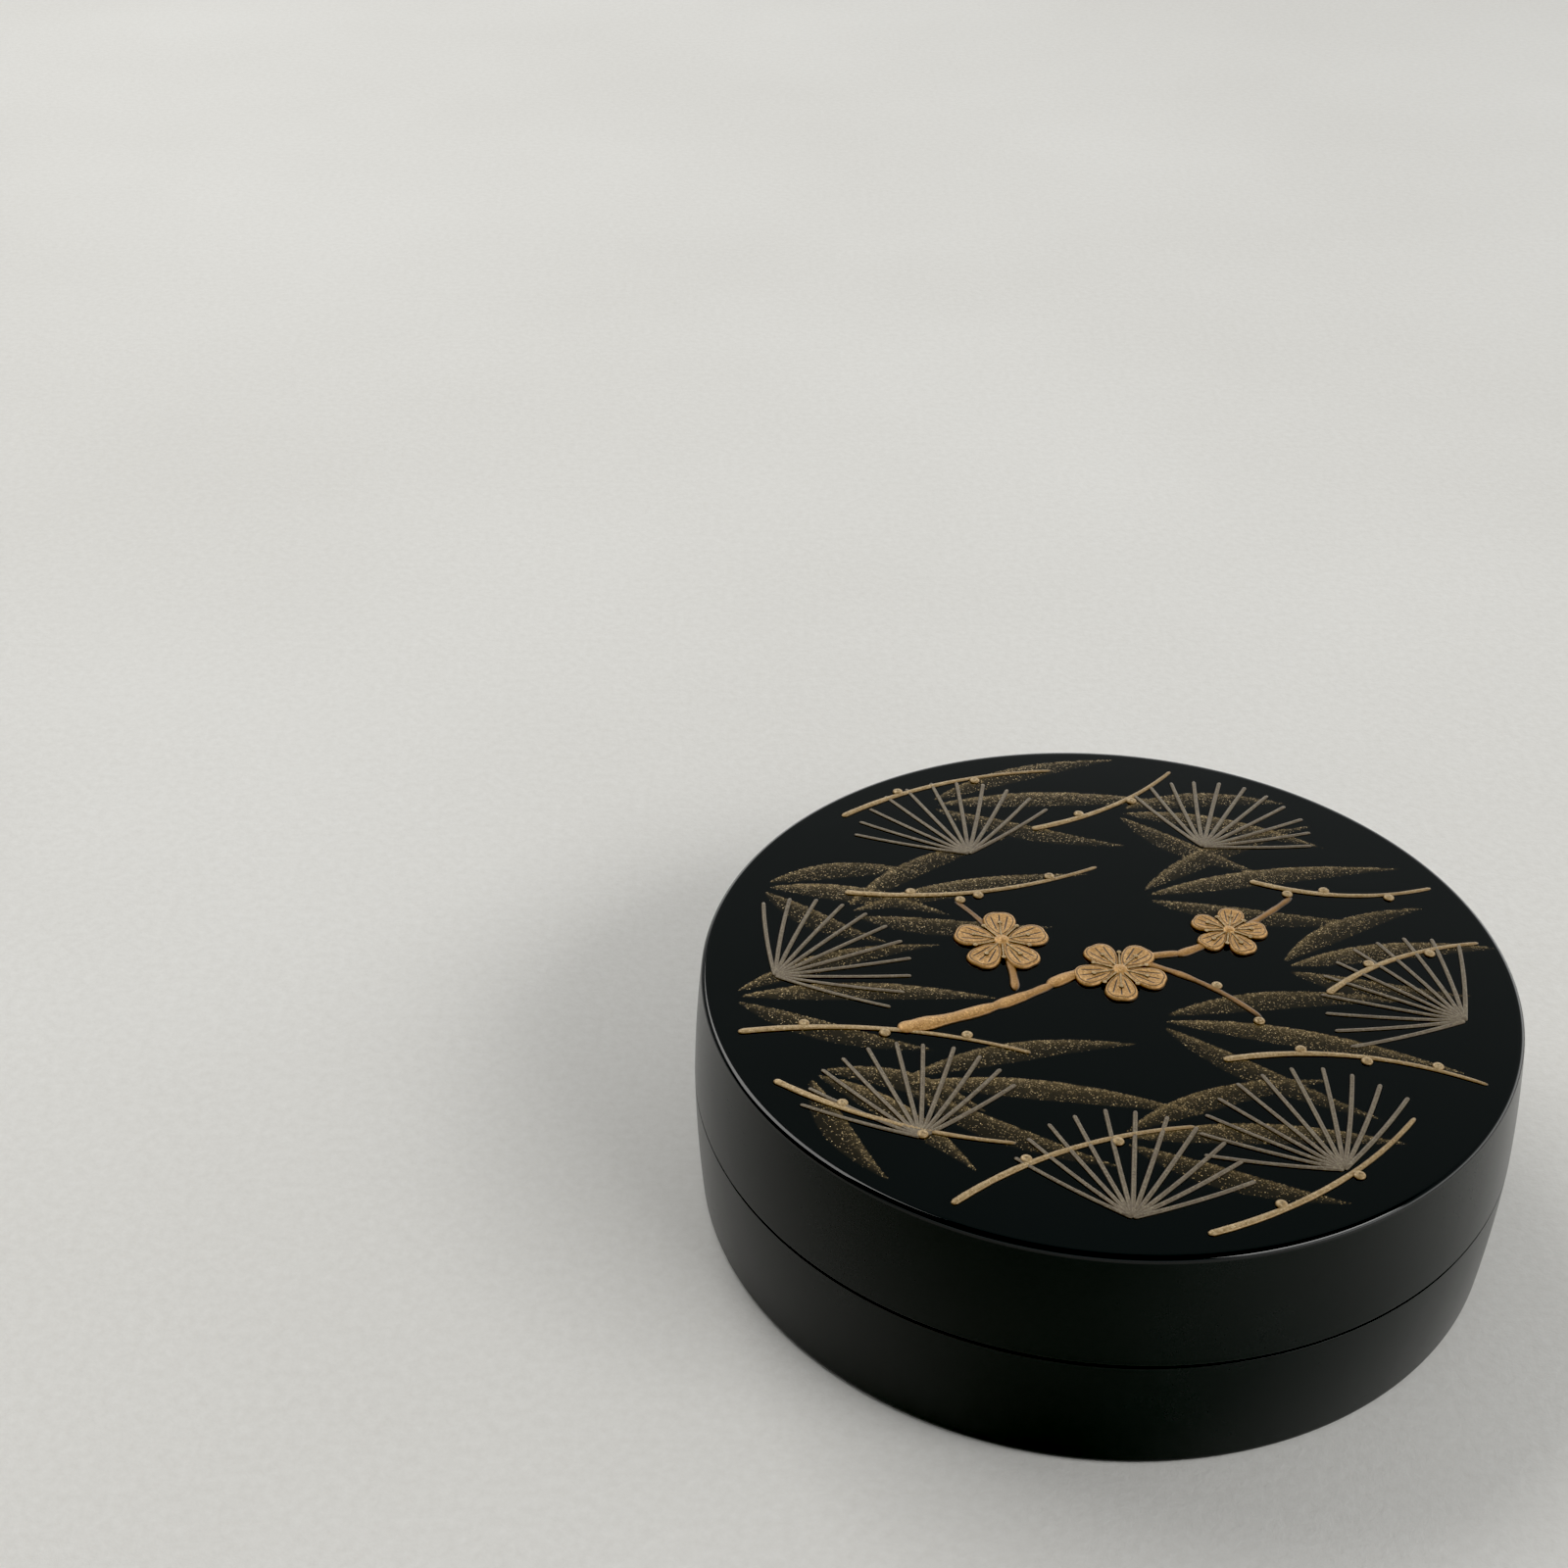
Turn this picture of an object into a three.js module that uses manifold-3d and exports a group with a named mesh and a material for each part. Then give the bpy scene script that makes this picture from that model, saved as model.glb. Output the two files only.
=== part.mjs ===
// Round lacquered incense box: a turned body, and a lid that lifts off.
// The lid's crowned top carries a low relief of plum blossom, pine sprays and budding twigs.
// Millimetres, +Z up. The origin is the centre of the underside.

import * as THREE from "three";
import { mergeVertices } from "three/addons/utils/BufferGeometryUtils.js";
import Module from "manifold-3d";

const wasm = await Module();
wasm.setup();

// Outside of the box
const boxRadius = 40;
const bodyHeight = 13;
const lidHeight = 12;
const topInset = 0.7;
const footInset = 0.6;
const wallSwell = 0.12;
const crownRise = 0.3;
const topEdgeRound = 0.5;
const footEdgeRound = 0.7;
const seamBreak = 0.15;

// Hollow, rim and underside
const lidWall = 2.2;
const lidThickness = 2.4;
const floorThickness = 2.4;
const cornerRound = 2.5;
const rimClearance = 0.25;
const rimWall = 1.4;
const rimHeight = 4.5;
const rimRound = 0.4;
const recessDepth = 0.6;
const footWidth = 5;

// Relief on the lid
const pictureMargin = 0.6;
const reliefRoot = 0.3;
const needleWidth = 0.55;
const needleHeight = 0.15;
const needleCount = 11;
const spraySpread = 120;
const twigWidth = 0.85;
const twigHeight = 0.2;
const budRadius = 0.58;
const budHeight = 0.28;
const branchWidth = 1.9;
const branchHeight = 0.35;
const petalHeight = 0.45;
const bossHeight = 0.6;

// Fineness of the facets
const turnSteps = 60;
const roundSteps = 3;
const wallSteps = 3;
const crownSteps = 3;
const stemSteps = 5;
const petalSteps = 6;
const budSides = 8;
const bossSides = 10;

// Where the two pieces meet, and what follows from the sizes above
const seamZ = bodyHeight;
const lidTopZ = seamZ + lidHeight;
const topRadius = boxRadius - topInset;
const crownRadius = topRadius - topEdgeRound;
const footRadius = boxRadius - footInset;
const lidBore = boxRadius - lidWall;
const rimRadius = lidBore - rimClearance;
const hollowRadius = rimRadius - rimWall;
const rimTopZ = seamZ + rimHeight;
const floorZ = recessDepth + floorThickness;
const ceilingZ = lidTopZ - lidThickness;
const pictureRadius = crownRadius - pictureMargin;

// A round takes at most this share of the wall that it is turned on.
const mostRound = 0.45;
const rimEdgeRound = Math.min(rimRound, mostRound * rimWall);

// The picture's places are shares of its radius, from the middle, with headings in degrees.
const sprays = [
  { x: -0.5, y: -0.64, heading: 98, reach: 0.34 },
  { x: -0.04, y: -0.9, heading: 82, reach: 0.36 },
  { x: 0.46, y: -0.74, heading: 112, reach: 0.36 },
  { x: 0.86, y: -0.2, heading: 140, reach: 0.36 },
  { x: -0.84, y: -0.04, heading: 36, reach: 0.36 },
  { x: -0.32, y: 0.5, heading: 104, reach: 0.36 },
  { x: 0.32, y: 0.54, heading: 62, reach: 0.34 },
];
const twigs = [
  { from: [-0.93, -0.26], to: [-0.22, -0.34], bow: 0.05, buds: [0.22, 0.5, 0.78] },
  { from: [-0.84, -0.44], to: [-0.28, -0.66], bow: -0.04, buds: [0.3, 0.65] },
  { from: [-0.44, -0.86], to: [0.14, -0.6], bow: 0.05, buds: [0.35, 0.7] },
  { from: [0.12, -0.95], to: [0.66, -0.56], bow: -0.05, buds: [0.3, 0.62] },
  { from: [0.24, -0.36], to: [0.86, -0.44], bow: 0.06, buds: [0.3, 0.55, 0.82] },
  { from: [0.54, -0.1], to: [0.97, 0.12], bow: 0.04, buds: [0.35, 0.7] },
  { from: [0.42, 0.38], to: [0.9, 0.36], bow: -0.05, buds: [0.4, 0.75] },
  { from: [-0.14, 0.62], to: [0.28, 0.92], bow: -0.04, buds: [0.3, 0.62] },
  { from: [-0.66, 0.32], to: [0.02, 0.44], bow: -0.06, buds: [0.25, 0.5, 0.8] },
  { from: [-0.66, 0.68], to: [-0.06, 0.92], bow: 0.05, buds: [0.3, 0.65] },
];
const branches = [
  { from: [-0.54, -0.25], to: [-0.14, -0.07], bow: -0.02, girth: 1, buds: [] },
  { from: [-0.16, -0.08], to: [0.2, 0.06], bow: 0.025, girth: 0.85, buds: [] },
  { from: [0.18, 0.05], to: [0.52, 0.31], bow: -0.02, girth: 0.6, buds: [1] },
  { from: [-0.24, -0.1], to: [-0.37, 0.28], bow: -0.04, girth: 0.5, buds: [0.55, 1] },
  { from: [0.06, 0.03], to: [0.36, -0.2], bow: 0.03, girth: 0.5, buds: [0.6, 1] },
];
const blossoms = [
  { x: -0.26, y: 0.1, radius: 0.13, turn: 18 },
  { x: 0.03, y: -0.02, radius: 0.125, turn: 50 },
  { x: 0.33, y: 0.15, radius: 0.105, turn: 5 },
];

// How much shorter the outer needles of a spray are, and how much a stem thins to its tip
const outerNeedleLoss = 0.12;
const stemTaper = 0.4;

// A blossom's form, as shares of its radius, and half the sweep of a petal's edge in degrees
const petalCount = 5;
const petalOut = 0.61;
const petalRound = 0.34;
const petalSweep = 125;
const notchOut = 0.3;
const bossShare = 0.2;

// Outlines

function radians(degrees) {
  return (degrees * Math.PI) / 180;
}

// Points along an arc about a centre, both ends included, with angles in degrees.
function arc(centreX, centreY, radius, from, to, steps) {
  const points = [];
  for (let i = 0; i <= steps; i += 1) {
    const angle = radians(from + ((to - from) * i) / steps);
    points.push([centreX + radius * Math.cos(angle), centreY + radius * Math.sin(angle)]);
  }
  return points;
}

// A wall between two heights that swells a little past the straight line, without its lower end.
function swollenWall([lowRadius, lowZ], [highRadius, highZ]) {
  const points = [];
  for (let i = 1; i <= wallSteps; i += 1) {
    const share = i / wallSteps;
    const swell = 4 * wallSwell * share * (1 - share);
    points.push([
      lowRadius + (highRadius - lowRadius) * share + swell,
      lowZ + (highZ - lowZ) * share,
    ]);
  }
  return points;
}

// Height of the crowned top at a distance from the middle.
function crownZ(distance) {
  return lidTopZ + crownRise * (1 - (distance / crownRadius) ** 2);
}

function bodyOutline() {
  const recessRadius = footRadius - footEdgeRound - footWidth;
  return [
    [0, recessDepth],
    [recessRadius - recessDepth, recessDepth],
    [recessRadius, 0],
    ...arc(footRadius - footEdgeRound, footEdgeRound, footEdgeRound, -90, 0, roundSteps),
    ...swollenWall([footRadius, footEdgeRound], [boxRadius, seamZ - seamBreak]),
    [boxRadius - seamBreak, seamZ],
    [rimRadius, seamZ],
    ...arc(rimRadius - rimEdgeRound, rimTopZ - rimEdgeRound, rimEdgeRound, 0, 90, roundSteps),
    ...arc(hollowRadius + rimEdgeRound, rimTopZ - rimEdgeRound, rimEdgeRound, 90, 180, roundSteps),
    ...arc(hollowRadius - cornerRound, floorZ + cornerRound, cornerRound, 0, -90, roundSteps),
    [0, floorZ],
  ];
}

function lidOutline() {
  const crown = [];
  for (let i = crownSteps - 1; i >= 0; i -= 1) {
    const distance = (crownRadius * i) / crownSteps;
    crown.push([distance, crownZ(distance)]);
  }
  return [
    [0, ceilingZ],
    ...arc(lidBore - cornerRound, ceilingZ - cornerRound, cornerRound, 90, 0, roundSteps),
    [lidBore, seamZ],
    [boxRadius - seamBreak, seamZ],
    [boxRadius, seamZ + seamBreak],
    ...swollenWall([boxRadius, seamZ + seamBreak], [topRadius, lidTopZ - topEdgeRound]),
    ...arc(crownRadius, lidTopZ - topEdgeRound, topEdgeRound, 0, 90, roundSteps).slice(1),
    ...crown,
  ];
}

// A place in the picture, in millimetres.
function place([x, y]) {
  return [x * pictureRadius, y * pictureRadius];
}

// A point some way off another, on a heading in degrees.
function step([x, y], heading, distance) {
  return [x + distance * Math.cos(radians(heading)), y + distance * Math.sin(radians(heading))];
}

// A pine spray: its needles in one outline, over each tip and down to the fork with the next.
function sprayOutline({ x, y, heading, reach }) {
  const root = place([x, y]);
  const half = needleWidth / 2;
  const gap = spraySpread / (needleCount - 1);
  const forkOut = half / Math.sin(radians(gap / 2));
  const firstHeading = heading - spraySpread / 2;
  const points = [step(root, firstHeading - 90, half)];
  for (let i = 0; i < needleCount; i += 1) {
    const needleHeading = firstHeading + gap * i;
    const fromMiddle = (2 * i) / (needleCount - 1) - 1;
    const length = reach * pictureRadius * (1 - outerNeedleLoss * fromMiddle ** 2);
    const tip = step(root, needleHeading, length);
    points.push(step(tip, needleHeading - 90, half));
    points.push(step(tip, needleHeading + 90, half));
    if (i < needleCount - 1) points.push(step(root, needleHeading + gap / 2, forkOut));
  }
  points.push(step(root, heading + spraySpread / 2 + 90, half));
  points.push(step(root, heading + 180, half));
  return points;
}

// The middle line of a stem, a single bow between its ends.
function stemCurve({ from, to, bow }) {
  const start = new THREE.Vector2(...place(from));
  const end = new THREE.Vector2(...place(to));
  const across = end.clone().sub(start).normalize().rotateAround(new THREE.Vector2(), Math.PI / 2);
  const middle = start.clone().add(end).multiplyScalar(0.5);
  middle.addScaledVector(across, 2 * bow * pictureRadius);
  return new THREE.QuadraticBezierCurve(start, middle, end);
}

// A stem that thins from its root to its tip.
function stemOutline(curve, width) {
  const left = [];
  const right = [];
  for (let i = 0; i <= stemSteps; i += 1) {
    const share = i / stemSteps;
    const middle = curve.getPoint(share);
    const along = curve.getTangent(share);
    const half = (width / 2) * (1 - stemTaper * share);
    left.push([middle.x - along.y * half, middle.y + along.x * half]);
    right.unshift([middle.x + along.y * half, middle.y - along.x * half]);
  }
  return [...left, ...right];
}

// A round bud beside a stem, on its left for side 1 and on its right for side -1.
function budOutline(curve, share, side) {
  const middle = curve.getPoint(share);
  const along = curve.getTangent(share);
  const centreX = middle.x - along.y * budRadius * side;
  const centreY = middle.y + along.x * budRadius * side;
  return arc(centreX, centreY, budRadius, 0, 360, budSides).slice(1);
}

// A plum blossom: round petals that part at notches near the middle.
function blossomOutline({ x, y, radius, turn }) {
  const centre = place([x, y]);
  const size = radius * pictureRadius;
  const points = [];
  for (let i = 0; i < petalCount; i += 1) {
    const heading = turn + (360 * i) / petalCount;
    const [petalX, petalY] = step(centre, heading, petalOut * size);
    const first = heading - petalSweep;
    const last = heading + petalSweep;
    points.push(...arc(petalX, petalY, petalRound * size, first, last, petalSteps));
    points.push(step(centre, heading + 180 / petalCount, notchOut * size));
  }
  return points;
}

function bossOutline({ x, y, radius }) {
  const [centreX, centreY] = place([x, y]);
  return arc(centreX, centreY, bossShare * radius * pictureRadius, 0, 360, bossSides).slice(1);
}

// Solids

function solidOf(geometry) {
  geometry.deleteAttribute("normal");
  geometry.deleteAttribute("uv");
  const merged = mergeVertices(geometry);
  return new wasm.Manifold(
    new wasm.Mesh({
      numProp: 3,
      vertProperties: merged.attributes.position.array,
      triVerts: new Uint32Array(merged.index.array),
    }),
  );
}

function geometryOf(solid) {
  const { vertProperties, triVerts } = solid.getMesh();
  const geometry = new THREE.BufferGeometry();
  geometry.setAttribute("position", new THREE.BufferAttribute(vertProperties, 3));
  geometry.setIndex(new THREE.BufferAttribute(triVerts, 1));
  const faceted = geometry.toNonIndexed();
  faceted.computeVertexNormals();
  return faceted;
}

// An outline of radius and height, turned about the Z axis.
function turned(outline) {
  const points = outline.map(([radius, z]) => new THREE.Vector2(radius, z));
  return new THREE.LatheGeometry(points, turnSteps).rotateX(Math.PI / 2);
}

// An outline in the picture, raised off the crown and rooted just under it.
function raised(outline, height) {
  const shape = new THREE.Shape(outline.map(([x, y]) => new THREE.Vector2(x, y)));
  const depth = reliefRoot + height;
  const geometry = new THREE.ExtrudeGeometry(shape, { depth, bevelEnabled: false });
  const position = geometry.attributes.position;
  for (let i = 0; i < position.count; i += 1) {
    const surface = crownZ(Math.hypot(position.getX(i), position.getY(i)));
    position.setZ(i, surface - reliefRoot + position.getZ(i));
  }
  return geometry;
}

// A stem and its buds, which sit on its left and its right by turns.
function stemWithBuds(stem, width, height) {
  const curve = stemCurve(stem);
  const sides = [1, -1];
  return [
    raised(stemOutline(curve, width), height),
    ...stem.buds.map((share, i) => raised(budOutline(curve, share, sides[i % sides.length]), budHeight)),
  ];
}

function relief() {
  return [
    ...sprays.map((spray) => raised(sprayOutline(spray), needleHeight)),
    ...twigs.flatMap((twig) => stemWithBuds(twig, twigWidth, twigHeight)),
    ...branches.flatMap((branch) => stemWithBuds(branch, branch.girth * branchWidth, branchHeight)),
    ...blossoms.map((blossom) => raised(blossomOutline(blossom), petalHeight)),
    ...blossoms.map((blossom) => raised(bossOutline(blossom), bossHeight)),
  ];
}

// The two pieces

const lacquer = new THREE.MeshStandardMaterial({ color: 0x0a0b0d, roughness: 0.3, metalness: 0 });

function makeBody() {
  const body = new THREE.Mesh(turned(bodyOutline()), lacquer);
  body.name = "body";
  return body;
}

function makeLid() {
  const plain = solidOf(turned(lidOutline()));
  const carved = relief().reduce((solid, figure) => solid.add(solidOf(figure)), plain);
  const lid = new THREE.Mesh(geometryOf(carved), lacquer);
  lid.name = "lid";
  return lid;
}

const incenseBox = new THREE.Group();
incenseBox.add(makeBody(), makeLid());

export default incenseBox;
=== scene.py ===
"""The looks of a round lacquered incense box whose lid carries pine, bamboo and plum in gold.

Metres, +Z up, with the origin at the centre of the underside. Sizes are written in millimetres
times MM. Places in the lid's picture are shares of its radius, with +X to its right and +Y up.
"""

import math

import bpy
import numpy as np
from mathutils import Matrix, Vector


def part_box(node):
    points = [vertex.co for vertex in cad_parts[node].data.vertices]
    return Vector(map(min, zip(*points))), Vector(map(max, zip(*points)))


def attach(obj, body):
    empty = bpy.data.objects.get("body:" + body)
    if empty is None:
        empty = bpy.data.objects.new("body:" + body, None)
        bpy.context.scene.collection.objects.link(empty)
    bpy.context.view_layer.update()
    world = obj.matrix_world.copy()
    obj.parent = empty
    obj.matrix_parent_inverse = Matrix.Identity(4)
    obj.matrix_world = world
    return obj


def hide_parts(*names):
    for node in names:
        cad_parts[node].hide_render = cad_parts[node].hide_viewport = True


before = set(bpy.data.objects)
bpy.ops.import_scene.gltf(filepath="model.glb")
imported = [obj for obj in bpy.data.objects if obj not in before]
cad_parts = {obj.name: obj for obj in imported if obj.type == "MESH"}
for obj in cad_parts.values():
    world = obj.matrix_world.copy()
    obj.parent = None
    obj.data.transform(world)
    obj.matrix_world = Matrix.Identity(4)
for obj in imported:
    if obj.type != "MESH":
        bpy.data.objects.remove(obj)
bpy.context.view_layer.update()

MM = 0.001

# Sizes that the frame gives
_, body_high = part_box("body")
lid_low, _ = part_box("lid")
BOX_RADIUS = body_high.x
SEAM_Z = lid_low.z
RIM_TOP_Z = body_high.z

# Outside of the box
LID_HEIGHT = 12 * MM
TOP_INSET = 0.7 * MM
FOOT_INSET = 0.6 * MM
WALL_SWELL = 0.12 * MM
CROWN_RISE = 0.3 * MM
TOP_EDGE_ROUND = 0.5 * MM
FOOT_EDGE_ROUND = 0.7 * MM
SEAM_HALF_GAP = 0.1 * MM
SEAM_ROUND = 0.05 * MM
SEAM_DEPTH = 0.45 * MM

# Hollow, rim and underside
LID_WALL = 2.2 * MM
LID_THICKNESS = 2.4 * MM
FLOOR_THICKNESS = 2.4 * MM
CORNER_ROUND = 2.5 * MM
RIM_CLEARANCE = 0.25 * MM
RIM_WALL = 1.4 * MM
RIM_ROUND = 0.4 * MM
RECESS_DEPTH = 0.6 * MM
FOOT_WIDTH = 5 * MM

# Relief on the lid
PICTURE_MARGIN = 0.6 * MM
NEEDLE_WIDTH = 0.5 * MM
NEEDLE_HEIGHT = 0.14 * MM
NEEDLE_COUNT = 11
SPRAY_SPREAD = math.radians(120)
OUTER_NEEDLE_LOSS = 0.12
NEEDLE_CURL = 0.02
NEEDLE_TURN_WOBBLE = 0.01
NEEDLE_REACH_WOBBLE = 0.012
NEEDLE_SEED = 7
TWIG_WIDTH = 0.8 * MM
TWIG_HEIGHT = 0.19 * MM
BUD_RADIUS = 0.57 * MM
BUD_HEIGHT = 0.27 * MM
BRANCH_WIDTH = 1.9 * MM
BRANCH_HEIGHT = 0.34 * MM
PETAL_HEIGHT = 0.44 * MM
BOSS_HEIGHT = 0.56 * MM
STAMEN_WIDTH = 0.22 * MM
STAMEN_HEIGHT = 0.06 * MM
STAMEN_LIFT = 0.86 * PETAL_HEIGHT
ANTHER_RADIUS = 0.24 * MM
ANTHER_HEIGHT = 0.1 * MM

# How much a stroke thins toward its far end, and how uneven its width is
STEM_TAPER = 0.4
NEEDLE_TAPER = 0.1
STAMEN_TAPER = 0.2
TWIG_KNOTS = 0.35
BRANCH_KNOTS = 0.9
NEEDLE_KNOTS = 0.12
STAMEN_KNOTS = 0.0

# How many knots or waves there are, for each metre of a stroke
TWIG_KNOT_SCALE = 500.0
BRANCH_KNOT_SCALE = 420.0
NEEDLE_KNOT_SCALE = 600.0

# A blossom's form, as shares of its radius, with the notch in its petals' tips a few degrees wide
PETAL_COUNT = 5
PETAL_OUT = 0.61
PETAL_ROUND = 0.368
PETAL_STRETCH = 0.42
PETAL_PINCH = 0.36
PETAL_NOTCH = 0.06
PETAL_NOTCH_DEGREES = 10
BOSS_SHARE = 0.2
STAMEN_COUNT = 10
STAMEN_REACH = 0.56

# The section of petals, buds and bosses, as shares of their height
PETAL_CUP = 0.3
PETAL_SHOULDER = 8
DOME_SHOULDER = 0.8
FIGURE_DEPTH = 0.6

# What follows from the sizes above
LID_TOP_Z = SEAM_Z + LID_HEIGHT
TOP_RADIUS = BOX_RADIUS - TOP_INSET
CROWN_RADIUS = TOP_RADIUS - TOP_EDGE_ROUND
FOOT_RADIUS = BOX_RADIUS - FOOT_INSET
LID_BORE = BOX_RADIUS - LID_WALL
RIM_RADIUS = LID_BORE - RIM_CLEARANCE
HOLLOW_RADIUS = RIM_RADIUS - RIM_WALL
FLOOR_Z = RECESS_DEPTH + FLOOR_THICKNESS
CEILING_Z = LID_TOP_Z - LID_THICKNESS
PICTURE_RADIUS = CROWN_RADIUS - PICTURE_MARGIN

# Fineness of the meshes: the crown's rings fix how many steps the lid has around it
CROWN_RINGS = 130
CROWN_SECTORS = 6
BODY_STEPS = 360
ROUND_STEPS = 6
WALL_STEPS = 10
STROKE_STEPS = 26
PROFILE_SIDES = 12
DOME_RINGS, DOME_SIDES = 5, 20
PETAL_RINGS, PETAL_SIDES = 12, 44

# A ring of points so close to each end of a wall keeps its sheen even up to the edge
WALL_EDGE_SHARE = 0.01

# A stroke's very tip keeps this share of its width, so that its skin doesn't fold
STROKE_TIP_SHARE = 0.02

# Pine sprays: x, y, heading in degrees, reach
SPRAYS = [
    (-0.50, -0.64, 98, 0.34),
    (-0.04, -0.90, 82, 0.36),
    (0.46, -0.74, 112, 0.36),
    (0.86, -0.20, 140, 0.36),
    (-0.84, -0.04, 36, 0.36),
    (-0.32, 0.50, 104, 0.36),
    (0.32, 0.54, 62, 0.34),
]

# Twigs: start, end, bow to the left, and where along them their buds sit
TWIGS = [
    ((-0.93, -0.26), (-0.22, -0.34), 0.05, (0.22, 0.5, 0.78)),
    ((-0.84, -0.44), (-0.28, -0.66), -0.04, (0.3, 0.65)),
    ((-0.44, -0.86), (0.14, -0.60), 0.05, (0.35, 0.7)),
    ((0.12, -0.95), (0.66, -0.56), -0.05, (0.3, 0.62)),
    ((0.24, -0.36), (0.86, -0.44), 0.06, (0.3, 0.55, 0.82)),
    ((0.54, -0.10), (0.97, 0.12), 0.04, (0.35, 0.7)),
    ((0.42, 0.38), (0.90, 0.36), -0.05, (0.4, 0.75)),
    ((-0.14, 0.62), (0.28, 0.92), -0.04, (0.3, 0.62)),
    ((-0.66, 0.32), (0.02, 0.44), -0.06, (0.25, 0.5, 0.8)),
    ((-0.66, 0.68), (-0.06, 0.92), 0.05, (0.3, 0.65)),
]

# Plum branches: start, end, bow to the left, girth, and their buds
BRANCHES = [
    ((-0.54, -0.25), (-0.14, -0.07), -0.02, 1.0, ()),
    ((-0.16, -0.08), (0.20, 0.06), 0.025, 0.85, ()),
    ((0.18, 0.05), (0.52, 0.31), -0.02, 0.6, (1,)),
    ((-0.24, -0.10), (-0.37, 0.28), -0.04, 0.5, (0.55, 1)),
    ((0.06, 0.03), (0.36, -0.20), 0.03, 0.5, (0.6, 1)),
]

# Plum blossoms: x, y, radius, turn in degrees
BLOSSOMS = [
    (-0.26, 0.10, 0.13, 18),
    (0.03, -0.02, 0.125, 50),
    (0.33, 0.15, 0.105, 5),
]

# Bamboo leaves in sprinkled dust, in fans: x, y, heading in degrees, length of the middle leaf
LEAF_FANS = [
    (-0.99, -0.12, -2, 0.66),
    (-0.70, 0.22, 14, 0.66),
    (-0.46, 0.74, 0, 0.70),
    (-0.58, -0.44, -10, 0.70),
    (0.06, -0.20, -16, 0.74),
    (0.08, 0.30, 10, 0.72),
    (-0.08, -0.64, -2, 0.66),
    (-0.78, -0.38, -44, 0.50),
    (-0.92, 0.36, -16, 0.50),
    (0.40, 0.00, 8, 0.58),
    (0.06, 0.72, -18, 0.56),
]

# The leaves of a fan: turn in degrees, share of the length, bow to the left, how strongly dusted
FAN_LEAVES = [(22, 0.84, 0.035, 0.8), (1, 1.0, 0.025, 1.0), (-19, 0.8, -0.03, 0.65)]
LEAF_START = 0.06
LEAF_WIDTH = 0.072
LEAF_FULLNESS = 0.82

# How dense a leaf's dust is: at least, more on its left side and left edge, less at its tip
DUST_LEAST = 0.1
DUST_SIDE = 0.22
DUST_EDGE = 0.5
DUST_EDGE_FADE_MM = 0.3
DUST_TIP_LOSS = 0.4


# Outlines and meshes


def arc(centre_r, centre_z, radius, start, end):
    """Points along an arc, both ends included, with angles in degrees."""
    angles = np.radians(np.linspace(start, end, ROUND_STEPS + 1))
    return [(centre_r + radius * math.cos(a), centre_z + radius * math.sin(a)) for a in angles]


def swollen_wall(low, high):
    """A wall between two points, without its first one, that swells past the straight line."""
    even_shares = np.arange(1, WALL_STEPS) / WALL_STEPS
    points = []
    for share in (WALL_EDGE_SHARE, *even_shares, 1 - WALL_EDGE_SHARE, 1):
        swell = 4 * WALL_SWELL * share * (1 - share)
        r = low[0] + (high[0] - low[0]) * share + swell
        points.append((r, low[1] + (high[1] - low[1]) * share))
    return points


def crown_z(x, y):
    """Height of the crowned top at a place, for numbers or arrays."""
    return LID_TOP_Z + CROWN_RISE * (1 - (x * x + y * y) / CROWN_RADIUS**2)


def body_outline():
    """The body's outline from the middle of its underside to the middle of its floor."""
    recess_radius = FOOT_RADIUS - FOOT_EDGE_ROUND - FOOT_WIDTH
    rim_z = RIM_TOP_Z - RIM_ROUND
    edge_z = SEAM_Z - SEAM_HALF_GAP - SEAM_ROUND
    return [
        (0, RECESS_DEPTH),
        (recess_radius - RECESS_DEPTH, RECESS_DEPTH),
        (recess_radius, 0),
        *arc(FOOT_RADIUS - FOOT_EDGE_ROUND, FOOT_EDGE_ROUND, FOOT_EDGE_ROUND, -90, 0),
        *swollen_wall((FOOT_RADIUS, FOOT_EDGE_ROUND), (BOX_RADIUS, edge_z)),
        *arc(BOX_RADIUS - SEAM_ROUND, edge_z, SEAM_ROUND, 0, 90)[1:],
        (BOX_RADIUS - SEAM_DEPTH, SEAM_Z - SEAM_HALF_GAP),
        (BOX_RADIUS - SEAM_DEPTH, SEAM_Z),
        (RIM_RADIUS, SEAM_Z),
        *arc(RIM_RADIUS - RIM_ROUND, rim_z, RIM_ROUND, 0, 90),
        *arc(HOLLOW_RADIUS + RIM_ROUND, rim_z, RIM_ROUND, 90, 180),
        *arc(HOLLOW_RADIUS - CORNER_ROUND, FLOOR_Z + CORNER_ROUND, CORNER_ROUND, 0, -90),
        (0, FLOOR_Z),
    ]


def lid_outline():
    """The lid's outline from the middle of its ceiling to the edge of its crown."""
    edge_z = LID_TOP_Z - TOP_EDGE_ROUND
    low_edge_z = SEAM_Z + SEAM_HALF_GAP + SEAM_ROUND
    return [
        (0, CEILING_Z),
        *arc(LID_BORE - CORNER_ROUND, CEILING_Z - CORNER_ROUND, CORNER_ROUND, 90, 0),
        (LID_BORE, SEAM_Z),
        (BOX_RADIUS - SEAM_DEPTH, SEAM_Z),
        (BOX_RADIUS - SEAM_DEPTH, SEAM_Z + SEAM_HALF_GAP),
        *arc(BOX_RADIUS - SEAM_ROUND, low_edge_z, SEAM_ROUND, -90, 0),
        *swollen_wall((BOX_RADIUS, low_edge_z), (TOP_RADIUS, edge_z)),
        *arc(CROWN_RADIUS, edge_z, TOP_EDGE_ROUND, 0, 90)[1:],
    ]


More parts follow.
